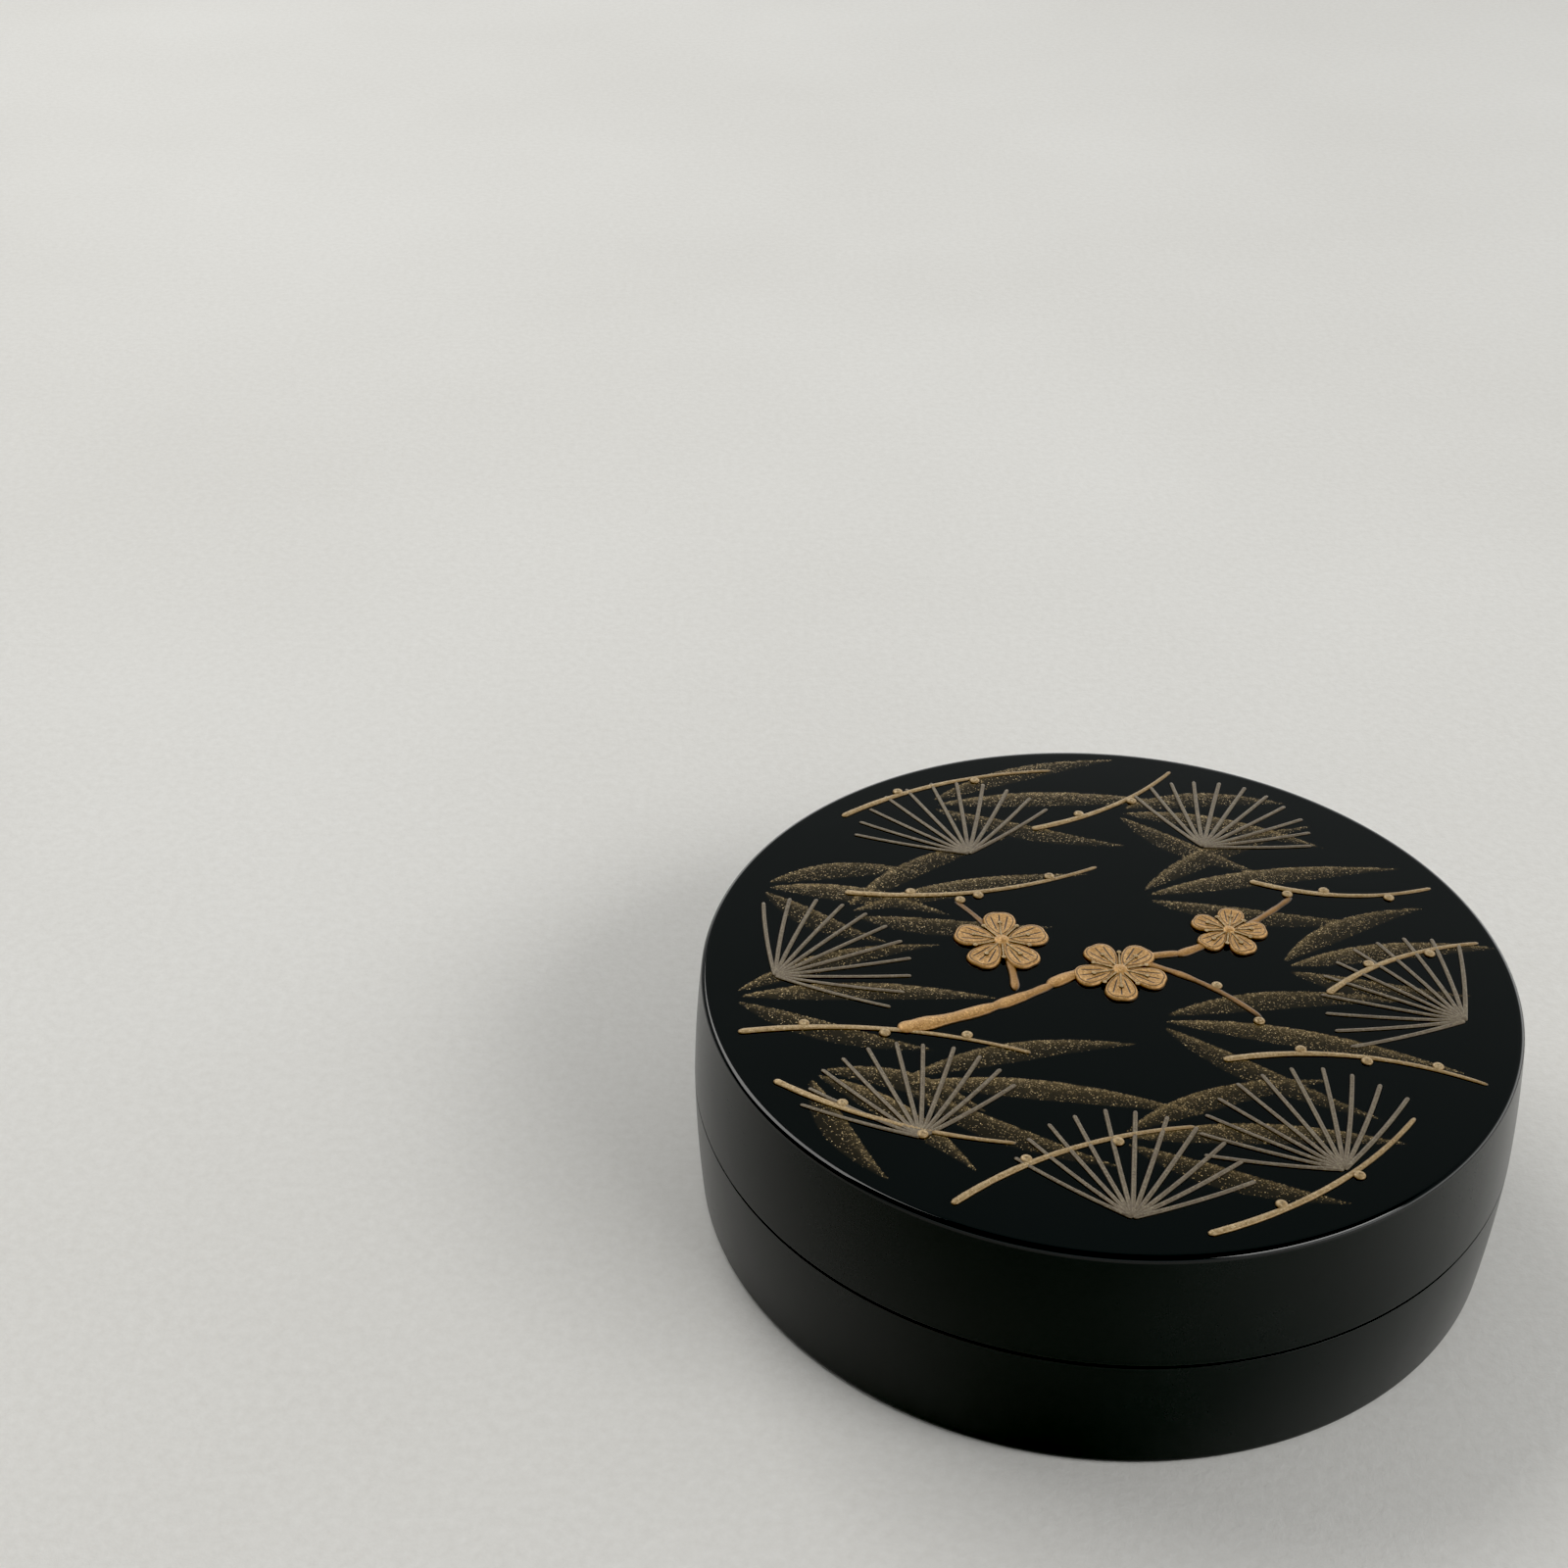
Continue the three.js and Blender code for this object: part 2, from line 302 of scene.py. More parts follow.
def turned(outline, steps):
    """Vertices and faces of an outline turned about Z, with one vertex for a point on the axis."""
    angles = np.linspace(0, 2 * math.pi, steps, endpoint=False)
    vertices = []
    rings = []
    for r, z in outline:
        rings.append(len(vertices))
        if r == 0:
            vertices.append((0.0, 0.0, z))
        else:
            vertices.extend((r * math.cos(a), r * math.sin(a), z) for a in angles)
    faces = []
    for i in range(len(outline) - 1):
        low, high = rings[i], rings[i + 1]
        for j in range(steps):
            k = (j + 1) % steps
            if outline[i][0] == 0:
                faces.append((low, high + k, high + j))
            elif outline[i + 1][0] == 0:
                faces.append((low + j, low + k, high))
            else:
                faces.append((low + j, low + k, high + k, high + j))
    return vertices, faces


def add_crown(vertices, faces, rings):
    """Fills the crown inside the last ring of vertices, with a vertex fewer in each sector."""
    outer = len(vertices) - CROWN_SECTORS * rings
    for i in range(rings, 0, -1):
        inner = len(vertices)
        count = max(CROWN_SECTORS * (i - 1), 1)
        r = CROWN_RADIUS * (i - 1) / rings
        for j in range(count):
            a = 2 * math.pi * j / count
            x, y = r * math.cos(a), r * math.sin(a)
            vertices.append((x, y, crown_z(x, y)))
        for sector in range(CROWN_SECTORS):
            for j in range(i):
                a = outer + sector * i + j
                b = outer + (sector * i + j + 1) % (CROWN_SECTORS * i)
                c = inner + (sector * (i - 1) + j) % count
                faces.append((a, b, c))
                if j < i - 1:
                    d = inner + (sector * (i - 1) + j + 1) % count
                    faces.append((b, d, c))
        outer = inner


def mesh_object(name, vertices, faces, materials, sharp_degrees=40):
    """A smooth-shaded mesh object whose edges sharper than the given angle stay crisp."""
    mesh = bpy.data.meshes.new(name)
    mesh.from_pydata(vertices, [], faces)
    for material in materials:
        mesh.materials.append(material)
    mesh.validate()
    mesh.shade_smooth()
    mesh.set_sharp_from_angle(angle=math.radians(sharp_degrees))
    obj = bpy.data.objects.new(name, mesh)
    bpy.context.scene.collection.objects.link(obj)
    return obj


# Bamboo leaves as numbers on the crown's vertices


def leaf_rows():
    """Every leaf: where it starts, its heading, length and bow, and how strongly it is dusted."""
    rows = []
    for x, y, heading, length in LEAF_FANS:
        for turn, share, bow, strength in FAN_LEAVES:
            angle = math.radians(heading + turn)
            start_x = x + LEAF_START * math.cos(angle)
            start_y = y + LEAF_START * math.sin(angle)
            rows.append((start_x, start_y, angle, length * share, bow, strength))
    return rows


def leaf_fields(x, y):
    """How far inside a leaf each place is, in millimetres, and how dense the dust is there."""
    x, y = x / PICTURE_RADIUS, y / PICTURE_RADIUS
    inside = np.full(x.shape, -1.0)
    dust = np.zeros(x.shape)
    for start_x, start_y, heading, length, bow, strength in leaf_rows():
        along_x, along_y = math.cos(heading), math.sin(heading)
        along = ((x - start_x) * along_x + (y - start_y) * along_y) / length
        across = (y - start_y) * along_x - (x - start_x) * along_y - 4 * bow * along * (1 - along)
        within = np.clip(along, 0, 1)
        half = LEAF_WIDTH / 2 * np.sin(math.pi * within**LEAF_FULLNESS)
        depth = (half - np.abs(across)) * PICTURE_RADIUS / MM
        depth = np.where((along > 0) & (along < 1), depth, -1.0)
        side = np.clip(across / np.maximum(half, 1e-6), -1, 1)
        edge = np.where(across > 0, np.exp(-np.maximum(depth, 0) / DUST_EDGE_FADE_MM), 0.0)
        density = DUST_LEAST + DUST_SIDE * (0.5 + 0.5 * side) ** 2 + DUST_EDGE * edge
        density = density * strength
        density = density * (1 - DUST_TIP_LOSS * within**2)
        dust = np.where(depth > 0, np.maximum(dust, density), dust)
        inside = np.maximum(inside, depth)
    to_edge = (CROWN_RADIUS / PICTURE_RADIUS - np.hypot(x, y)) * PICTURE_RADIUS / MM
    return np.clip(np.minimum(inside, to_edge), -1, 1), dust


def add_field(mesh, name, values):
    """Stores a number for each vertex."""
    attribute = mesh.attributes.new(name, "FLOAT", "POINT")
    attribute.data.foreach_set("value", np.asarray(values, dtype=np.float32))


# Building blocks for node trees

# Sockets that share their name with others of their node: the plain numbers of a Random Value
# node, and the colours of a Mix node
LEAST_FLOAT, MOST_FLOAT, RANDOM_FLOAT = 2, 3, 1
FIRST_COLOUR, SECOND_COLOUR, MIXED_COLOUR = 6, 7, 2


def feed(tree, socket, value):
    """Links a socket to another one, or sets its own value."""
    if isinstance(value, bpy.types.NodeSocket):
        tree.links.new(value, socket)
    else:
        socket.default_value = value


def add_node(tree, kind, inputs=None, **settings):
    """A new node with its inputs linked or set."""
    node = tree.nodes.new(kind)
    for name, value in settings.items():
        setattr(node, name, value)
    for key, value in (inputs or {}).items():
        feed(tree, node.inputs[key], value)
    return node


def calc(tree, operation, *values, clamp=False):
    """The result of a Math node whose inputs are numbers or sockets."""
    node = add_node(tree, "ShaderNodeMath", operation=operation, use_clamp=clamp)
    for socket, value in zip(node.inputs, values):
        feed(tree, socket, value)
    return node.outputs["Value"]


def remap(tree, value, low, high, to_low=0.0, to_high=1.0, smooth=False):
    """A value's place between two limits, carried over to two others and held between them."""
    kind = "SMOOTHSTEP" if smooth else "LINEAR"
    node = add_node(tree, "ShaderNodeMapRange", {"Value": value}, interpolation_type=kind)
    limits = {"From Min": low, "From Max": high, "To Min": to_low, "To Max": to_high}
    for key, limit in limits.items():
        feed(tree, node.inputs[key], limit)
    return node.outputs["Result"]


# Geometry Nodes


def start_tree(name, inputs):
    """A Geometry Nodes tree with named inputs, and the sockets that bring them in."""
    tree = bpy.data.node_groups.new(name, "GeometryNodeTree")
    tree.interface.new_socket("Geometry", in_out="INPUT", socket_type="NodeSocketGeometry")
    for label, kind in inputs.items():
        tree.interface.new_socket(label, in_out="INPUT", socket_type="NodeSocket" + kind)
    tree.interface.new_socket("Geometry", in_out="OUTPUT", socket_type="NodeSocketGeometry")
    return tree, tree.nodes.new("NodeGroupInput").outputs


def point_number(tree, name):
    """A number that each point of the host mesh carries."""
    node = add_node(tree, "GeometryNodeInputNamedAttribute", {"Name": name}, data_type="FLOAT")
    return node.outputs["Attribute"]


def store_number(tree, inputs):
    """The geometry with a number stored for each of its points."""
    kind = "GeometryNodeStoreNamedAttribute"
    return add_node(tree, kind, inputs, data_type="FLOAT", domain="POINT").outputs["Geometry"]


def place_copies(tree, points, instance, heading, scale):
    """Copies of a curve or mesh on the points, each turned to its heading."""
    euler = add_node(tree, "ShaderNodeCombineXYZ", {"Z": heading}).outputs["Vector"]
    turn = add_node(tree, "FunctionNodeEulerToRotation", {"Euler": euler}).outputs["Rotation"]
    inputs = {"Points": points, "Instance": instance, "Rotation": turn, "Scale": scale}
    copies = add_node(tree, "GeometryNodeInstanceOnPoints", inputs).outputs["Instances"]
    return add_node(tree, "GeometryNodeRealizeInstances", {"Geometry": copies}).outputs["Geometry"]


def unit_curve(tree, steps):
    """A curve from x 0 to 1 with a unit bow in y, its points closer together near the ends."""
    line = add_node(tree, "GeometryNodeCurvePrimitiveLine", {"Start": (0, 0, 0), "End": (1, 0, 0)})
    fine = add_node(tree, "GeometryNodeResampleCurve", {"Curve": line.outputs[0], "Count": steps})
    share = add_node(tree, "GeometryNodeSplineParameter").outputs["Factor"]
    swing = calc(tree, "COSINE", calc(tree, "MULTIPLY", share, math.pi))
    x = calc(tree, "MULTIPLY_ADD", swing, -0.5, 0.5)
    bow = calc(tree, "MULTIPLY", calc(tree, "SUBTRACT", 1.0, x), calc(tree, "MULTIPLY", x, 4.0))
    place = add_node(tree, "ShaderNodeCombineXYZ", {"X": x, "Y": bow}).outputs["Vector"]
    inputs = {"Geometry": fine.outputs[0], "Position": place}
    return add_node(tree, "GeometryNodeSetPosition", inputs).outputs["Geometry"]


def stroke_girth(tree, source, half_width, girth):
    """How thick a stroke is along its length: round at its ends, thinning and knotty."""
    parameter = add_node(tree, "GeometryNodeSplineParameter")
    length = add_node(tree, "GeometryNodeSplineLength").outputs["Length"]
    left = calc(tree, "SUBTRACT", length, parameter.outputs["Length"])
    to_end = calc(tree, "MINIMUM", parameter.outputs["Length"], left)
    rise = calc(tree, "DIVIDE", to_end, half_width, clamp=True)
    cap = calc(tree, "SQRT", calc(tree, "MULTIPLY", rise, calc(tree, "SUBTRACT", 2.0, rise)))
    taper = calc(tree, "MULTIPLY", source["Taper"], parameter.outputs["Factor"])
    body = calc(tree, "MULTIPLY", calc(tree, "SUBTRACT", 1.0, taper), girth)
    inputs = {"Scale": source["Knot Scale"], "Detail": 1.0}
    waves = add_node(tree, "ShaderNodeTexNoise", inputs).outputs[0]
    knots = calc(tree, "MULTIPLY", calc(tree, "SUBTRACT", waves, 0.5), source["Knots"])
    knotty = calc(tree, "MULTIPLY", body, calc(tree, "ADD", knots, 1.0))
    return calc(tree, "MULTIPLY", knotty, calc(tree, "MAXIMUM", cap, STROKE_TIP_SHARE))


def oval_section(tree, half_width, height):
    """The curve that a stroke's skin follows round its length."""
    inputs = {"Resolution": PROFILE_SIDES, "Radius": 1.0}
    ring = add_node(tree, "GeometryNodeCurvePrimitiveCircle", inputs).outputs["Curve"]
    inputs = {"X": half_width, "Y": height, "Z": 1.0}
    scale = add_node(tree, "ShaderNodeCombineXYZ", inputs).outputs["Vector"]
    inputs = {"Geometry": ring, "Scale": scale}
    return add_node(tree, "GeometryNodeTransform", inputs).outputs["Geometry"]


def stroke_solids(tree, points, source, heading, reach, bow, girth):
    """Strokes from the points, oval in section, half of which is under the lid's top."""
    scale = add_node(tree, "ShaderNodeCombineXYZ", {"X": reach, "Y": bow, "Z": 1.0})
    curve = unit_curve(tree, STROKE_STEPS)
    curves = place_copies(tree, points, curve, heading, scale.outputs["Vector"])
    flat = add_node(tree, "GeometryNodeSetCurveNormal", {"Curve": curves}, mode="Z_UP")
    half_width = calc(tree, "MULTIPLY", source["Width"], 0.5)
    inputs = {
        "Curve": flat.outputs["Curve"],
        "Profile Curve": oval_section(tree, half_width, source["Height"]),
        "Scale": stroke_girth(tree, source, half_width, girth),
        "Fill Caps": True,
    }
    return add_node(tree, "GeometryNodeCurveToMesh", inputs).outputs["Mesh"]


def finish_tree(tree, geometry, source):
    """Marks how near its foot each vertex is, lays the shapes on the crown and ends the tree."""
    position = add_node(tree, "GeometryNodeInputPosition").outputs["Position"]
    parts = add_node(tree, "ShaderNodeSeparateXYZ", {"Vector": position}).outputs
    lift = calc(tree, "SUBTRACT", parts["Z"], source["Lift"])
    foot = calc(tree, "SUBTRACT", 1.0, calc(tree, "DIVIDE", lift, source["Height"]), clamp=True)
    inputs = {"Geometry": geometry, "Name": "foot", "Value": foot}
    marked = store_number(tree, inputs)
    out_x = calc(tree, "DIVIDE", parts["X"], source["Crown Radius"])
    out_y = calc(tree, "DIVIDE", parts["Y"], source["Crown Radius"])
    out = calc(tree, "MULTIPLY_ADD", out_x, out_x, calc(tree, "MULTIPLY", out_y, out_y))
    fall = calc(tree, "MULTIPLY", out, source["Crown Rise"])
    top = calc(tree, "ADD", source["Crown Height"], calc(tree, "SUBTRACT", parts["Z"], fall))
    place = add_node(tree, "ShaderNodeCombineXYZ", {"X": parts["X"], "Y": parts["Y"], "Z": top})
    inputs = {"Geometry": marked, "Position": place.outputs["Vector"]}
    draped = add_node(tree, "GeometryNodeSetPosition", inputs).outputs["Geometry"]
    smooth = add_node(tree, "GeometryNodeSetShadeSmooth", {"Geometry": draped}).outputs["Geometry"]
    real = add_node(tree, "GeometryNodeRealizeInstances", {"Geometry": smooth}).outputs["Geometry"]
    inputs = {"Geometry": real, "Material": source["Material"]}
    painted = add_node(tree, "GeometryNodeSetMaterial", inputs).outputs["Geometry"]
    add_node(tree, "NodeGroupOutput", {"Geometry": painted})
    return tree


CROWN_INPUTS = {
    "Crown Height": "Float",
    "Crown Rise": "Float",
    "Crown Radius": "Float",
    "Height": "Float",
    "Lift": "Float",
    "Material": "Material",
}
CROWN_VALUES = {
    "Crown Height": LID_TOP_Z + CROWN_RISE,
    "Crown Rise": CROWN_RISE,
    "Crown Radius": CROWN_RADIUS,
    "Lift": 0.0,
}
STROKE_INPUTS = {
    **CROWN_INPUTS,
    "Width": "Float",
    "Taper": "Float",
    "Knots": "Float",
    "Knot Scale": "Float",
}


def stroke_tree():
    """One stroke for each point, by the point's heading, reach, bow and girth."""
    tree, source = start_tree("Strokes on a crown", STROKE_INPUTS)
    numbers = [point_number(tree, name) for name in ("heading", "reach", "bow", "girth")]
    solids = stroke_solids(tree, source["Geometry"], source, *numbers)
    return finish_tree(tree, solids, source)


def spray_tree():
    """A fan of needles for each point, by the point's heading and reach."""
    own = {"Count": "Int", "Spread": "Float", "Outer Loss": "Float", "Curl": "Float", "Seed": "Int"}
    tree, source = start_tree("Sprays on a crown", {**STROKE_INPUTS, **own})
    inputs = {"Geometry": source["Geometry"], "Amount": source["Count"]}
    fan = add_node(tree, "GeometryNodeDuplicateElements", inputs, domain="POINT")
    last = calc(tree, "SUBTRACT", source["Count"], 1.0)
    share = calc(tree, "DIVIDE", fan.outputs["Duplicate Index"], last)
    side = calc(tree, "MULTIPLY_ADD", share, 2.0, -1.0)
    inputs = {"Geometry": fan.outputs["Geometry"], "Name": "side", "Value": side}
    sided = store_number(tree, inputs)
    side = point_number(tree, "side")
    inputs = {LEAST_FLOAT: -1.0, MOST_FLOAT: 1.0, "Seed": source["Seed"]}
    wobble = add_node(tree, "FunctionNodeRandomValue", inputs).outputs[RANDOM_FLOAT]
    turn = calc(tree, "MULTIPLY", side, calc(tree, "MULTIPLY", source["Spread"], 0.5))
    heading = calc(tree, "ADD", point_number(tree, "heading"), turn)
    heading = calc(tree, "MULTIPLY_ADD", wobble, NEEDLE_TURN_WOBBLE, heading)
    loss = calc(tree, "MULTIPLY", calc(tree, "MULTIPLY", side, side), source["Outer Loss"])
    loss = calc(tree, "MULTIPLY_ADD", wobble, NEEDLE_REACH_WOBBLE, loss)
    kept = calc(tree, "SUBTRACT", 1.0, loss)
    reach = calc(tree, "MULTIPLY", point_number(tree, "reach"), kept)
    bow = calc(tree, "MULTIPLY", calc(tree, "MULTIPLY", reach, side), source["Curl"])
    solids = stroke_solids(tree, sided, source, heading, reach, bow, 1.0)
    return finish_tree(tree, solids, source)


def figure_tree():
    """A copy of a figure for each point, by the point's heading and size."""
    tree, source = start_tree("Figures on a crown", {**CROWN_INPUTS, "Figure": "Object"})
    info = add_node(tree, "GeometryNodeObjectInfo", {"Object": source["Figure"]})
    size = point_number(tree, "size")
    scale = add_node(tree, "ShaderNodeCombineXYZ", {"X": size, "Y": size, "Z": source["Height"]})
    heading = point_number(tree, "heading")
    figure = info.outputs["Geometry"]
    copies = place_copies(tree, source["Geometry"], figure, heading, scale.outputs["Vector"])
    return finish_tree(tree, copies, source)


def points_mesh(name, rows, fields, lift=0.0):
    """Loose vertices at places in metres, with a number for each field that follows the place."""
    mesh = bpy.data.meshes.new(name)
    mesh.from_pydata([(row[0], row[1], lift) for row in rows], [], [])
    for i, field in enumerate(fields):
        add_field(mesh, field, [row[2 + i] for row in rows])
    return mesh


def grown(name, tree, host, values):
    """The plain mesh that a tree makes from a host mesh, as an object."""
    obj = bpy.data.objects.new(name, host)
    bpy.context.scene.collection.objects.link(obj)
    modifier = obj.modifiers.new("nodes", "NODES")
    modifier.node_group = tree
    values = {**CROWN_VALUES, **values}
    for item in tree.interface.items_tree:
        if item.in_out == "INPUT" and item.name in values:
            modifier[item.identifier] = values[item.name]
    depsgraph = bpy.context.evaluated_depsgraph_get()
    evaluated = obj.evaluated_get(depsgraph)
    mesh = bpy.data.meshes.new_from_object(
        evaluated, preserve_all_data_layers=True, depsgraph=depsgraph
    )
    mesh.name = name
    obj.modifiers.remove(modifier)
    obj.data = mesh
    return obj


# Rows for the trees


def stroke_row(start, end, bow, girth=1.0):
    """A stroke's place in metres, heading, reach, bow and girth."""
    run = (end[0] - start[0]) * PICTURE_RADIUS, (end[1] - start[1]) * PICTURE_RADIUS
    x, y = start[0] * PICTURE_RADIUS, start[1] * PICTURE_RADIUS
    return x, y, math.atan2(run[1], run[0]), math.hypot(*run), bow * PICTURE_RADIUS, girth


def bud_rows(stems):
    """Buds beside the strokes, on their left and right by turns."""
    rows = []
    for start, end, bow, buds in stems:
        x, y, heading, reach, bow, _ = stroke_row(start, end, bow)
        along = math.cos(heading), math.sin(heading)
        for i, share in enumerate(buds):
            side = 1 if i % 2 == 0 else -1
            out = 4 * bow * share * (1 - share) + side * BUD_RADIUS
            bud_x = x + along[0] * reach * share - along[1] * out
            bud_y = y + along[1] * reach * share + along[0] * out
            rows.append((bud_x, bud_y, heading, BUD_RADIUS))
    return rows


def blossom_rows(out, size, count):
    """Rows around each blossom: at a share of its radius, with a size that is a share too."""
    rows = []
    for x, y, radius, turn in BLOSSOMS:
        radius *= PICTURE_RADIUS
        for i in range(count):
            heading = math.radians(turn + 360 * i / count)
            place_x = x * PICTURE_RADIUS + out * radius * math.cos(heading)
            place_y = y * PICTURE_RADIUS + out * radius * math.sin(heading)
            rows.append((place_x, place_y, heading, size * radius))
    return rows


def stamen_rows():
    """Straight strokes out from each blossom's centre."""
    rows = []
    for x, y, heading, radius in blossom_rows(0, 1, STAMEN_COUNT):
        rows.append((x, y, heading, radius * STAMEN_REACH, 0.0, 1.0))
    return rows


def anther_rows():
    """Beads at the stamens' far ends."""
    rows = blossom_rows(STAMEN_REACH, 1, STAMEN_COUNT)
    return [(x, y, heading, ANTHER_RADIUS) for x, y, heading, _ in rows]


# Figures


def dome(name, rings, sides):
    """A closed dome of unit radius and height with a rounded shoulder."""
    outline = [(0, -FIGURE_DEPTH), (1.0, -FIGURE_DEPTH)]
    for i in range(rings):
        angle = math.pi / 2 * i / rings
        outline.append((math.cos(angle) ** DOME_SHOULDER, math.sin(angle)))
    outline.append((0, 1.0))
    vertices, faces = turned(outline, sides)
    return mesh_object(name, vertices, faces, [])


def petal_point(share, angle):
    """A place on a petal, by its share of the way to the edge and its angle from the tip."""
    inward = (1 - math.cos(angle)) / 2
    from_tip = (math.degrees(angle) + 180) % 360 - 180
    notch = PETAL_NOTCH * math.exp(-(from_tip**2) / (2 * PETAL_NOTCH_DEGREES**2))
    x = PETAL_ROUND * share * math.cos(angle) * (1 + PETAL_STRETCH * inward - notch)
    y = PETAL_ROUND * share * math.sin(angle) * (1 - PETAL_PINCH * inward**2)
    shoulder = math.sqrt(max(0.0, 1 - share**PETAL_SHOULDER))
    return PETAL_OUT + x, y, shoulder * (1 - PETAL_CUP + PETAL_CUP * share**2)


def petal(name, rings, sides):
    """A closed petal with its blossom's centre at the origin, in shares of the blossom's radius.

    It carries its place: how far out from the centre, how far aside and how near its edge.
    """
    vertices = []
    places = []
    for ring in range(rings + 1):
        share = ring / rings
        for j in range(sides if ring else 1):
            x, y, z = petal_point(share, 2 * math.pi * j / sides)
            vertices.append((x, y, z))
            places.append((x, y, share))
    base = len(vertices)
    for j in range(sides):
        x, y, _ = vertices[base - sides + j]
        vertices.append((x, y, -FIGURE_DEPTH))
        places.append((x, y, 1.0))
    vertices.append((PETAL_OUT, 0.0, -FIGURE_DEPTH))
    places.append((PETAL_OUT, 0.0, 1.0))
    faces = []
    for j in range(sides):
        k = (j + 1) % sides
        faces.append((0, 1 + j, 1 + k))
        for ring in range(1, rings + 1):
            low, high = 1 + (ring - 1) * sides, 1 + ring * sides
            faces.append((low + j, high + j, high + k, low + k))
        faces.append((base + k, base + j, len(vertices) - 1))
    obj = mesh_object(name, vertices, faces, [], sharp_degrees=70)
    attribute = obj.data.attributes.new("petal_place", "FLOAT_VECTOR", "POINT")
    attribute.data.foreach_set("vector", np.asarray(places, dtype=np.float32).ravel())
    return obj


# Materials

BLACK = (0.0036, 0.005, 0.0052, 1)
SATIN_BLACK = (0.0018, 0.0036, 0.0034, 1)
SATIN_CLOUD = (0.003, 0.0052, 0.0048, 1)
DULL_SPECK = (0.03, 0.03, 0.028, 1)
PALE_SPECK = (0.13, 0.125, 0.115, 1)
DUST_HAZE = (0.13, 0.095, 0.045, 1)
DUST_TONES = [(0.12, 0.082, 0.032, 1), (0.3, 0.215, 0.1, 1), (0.78, 0.6, 0.32, 1)]

# Metal powders: dark, middle and bright, and the dark of engraved lines and marks and of the
# painted shade at a relief's foot
GOLD = [(0.22, 0.11, 0.035, 1), (0.5, 0.285, 0.105, 1), (0.76, 0.49, 0.22, 1)]
PALE_GOLD = [(0.17, 0.1, 0.035, 1), (0.39, 0.28, 0.145, 1), (0.6, 0.47, 0.29, 1)]
ROSE_SILVER = [(0.085, 0.067, 0.047, 1), (0.165, 0.134, 0.095, 1), (0.27, 0.232, 0.168, 1)]
DARK_LINE_AND_FOOT_SHADE = (0.03, 0.017, 0.007, 1)


def start_material(name):
    """A material, its tree, its shader and its Object coordinates."""
    material = bpy.data.materials.new(name)
    material.use_nodes = True
    tree = material.node_tree
    coords = add_node(tree, "ShaderNodeTexCoord").outputs["Object"]
    return material, tree, tree.nodes["Principled BSDF"], coords


def noise(tree, coords, scale, detail=2.0, roughness=0.5):
    """Cloudy noise between 0 and 1, with its scale in waves for each metre."""
    inputs = {"Vector": coords, "Scale": scale, "Detail": detail, "Roughness": roughness}
    return add_node(tree, "ShaderNodeTexNoise", inputs).outputs[0]


def cells(tree, coords, scale):
    """Small random cells: two numbers for each cell, and the distance from its point."""
    node = add_node(tree, "ShaderNodeTexVoronoi", {"Vector": coords, "Scale": scale})
    parts = add_node(tree, "ShaderNodeSeparateColor", {"Color": node.outputs["Color"]}).outputs
    return parts["Red"], parts["Green"], node.outputs["Distance"]


def mix_color(tree, factor, first, second):
    """A colour between two others."""
    node = tree.nodes.new("ShaderNodeMix")
    node.data_type = "RGBA"
    feed(tree, node.inputs["Factor"], factor)
    feed(tree, node.inputs[FIRST_COLOUR], first)
    feed(tree, node.inputs[SECOND_COLOUR], second)
    return node.outputs[MIXED_COLOUR]


def mix_number(tree, factor, first, second):
    """A number between two others."""
    node = tree.nodes.new("ShaderNodeMix")
    feed(tree, node.inputs["Factor"], factor)
    feed(tree, node.inputs["A"], first)
    feed(tree, node.inputs["B"], second)
    return node.outputs["Result"]


def bump(tree, shader, height, distance, strength):
    """Fine unevenness in the surface, with its full height as a distance in metres."""
    inputs = {"Height": height, "Distance": distance, "Strength": strength}
    feed(tree, shader.inputs["Normal"], add_node(tree, "ShaderNodeBump", inputs).outputs["Normal"])


def named_number(tree, name):
    """A number that the piece's vertices carry."""
    return add_node(tree, "ShaderNodeAttribute", attribute_name=name).outputs["Fac"]


def satin_lacquer(name):
    """Black lacquer rubbed to a satin, with faint mottling and a few pale specks and nicks."""
    material, tree, shader, coords = start_material(name)
    shader.inputs["IOR"].default_value = 1.37
    cloud = noise(tree, coords, scale=60, detail=3.0)
    grain = noise(tree, coords, scale=2600, roughness=0.6)
    pick, shade, distance = cells(tree, coords, scale=260)
    speck_size = remap(tree, pick, 0.93, 1.0, 0.0, 0.055)
    speck = calc(tree, "LESS_THAN", distance, speck_size)
    tint = mix_color(tree, remap(tree, cloud, 0.35, 0.65), SATIN_BLACK, SATIN_CLOUD)
    pale = mix_color(tree, shade, DULL_SPECK, PALE_SPECK)
    feed(tree, shader.inputs["Base Color"], mix_color(tree, speck, tint, pale))
    matt = calc(tree, "MULTIPLY_ADD", cloud, 0.1, 0.165)
    matt = calc(tree, "MULTIPLY_ADD", grain, 0.07, matt)
    feed(tree, shader.inputs["Roughness"], mix_number(tree, speck, matt, 0.6))
    height = calc(tree, "MULTIPLY_ADD", speck, 0.5, calc(tree, "MULTIPLY", grain, 0.35))
    bump(tree, shader, height, distance=0.02 * MM, strength=0.35)
    return material


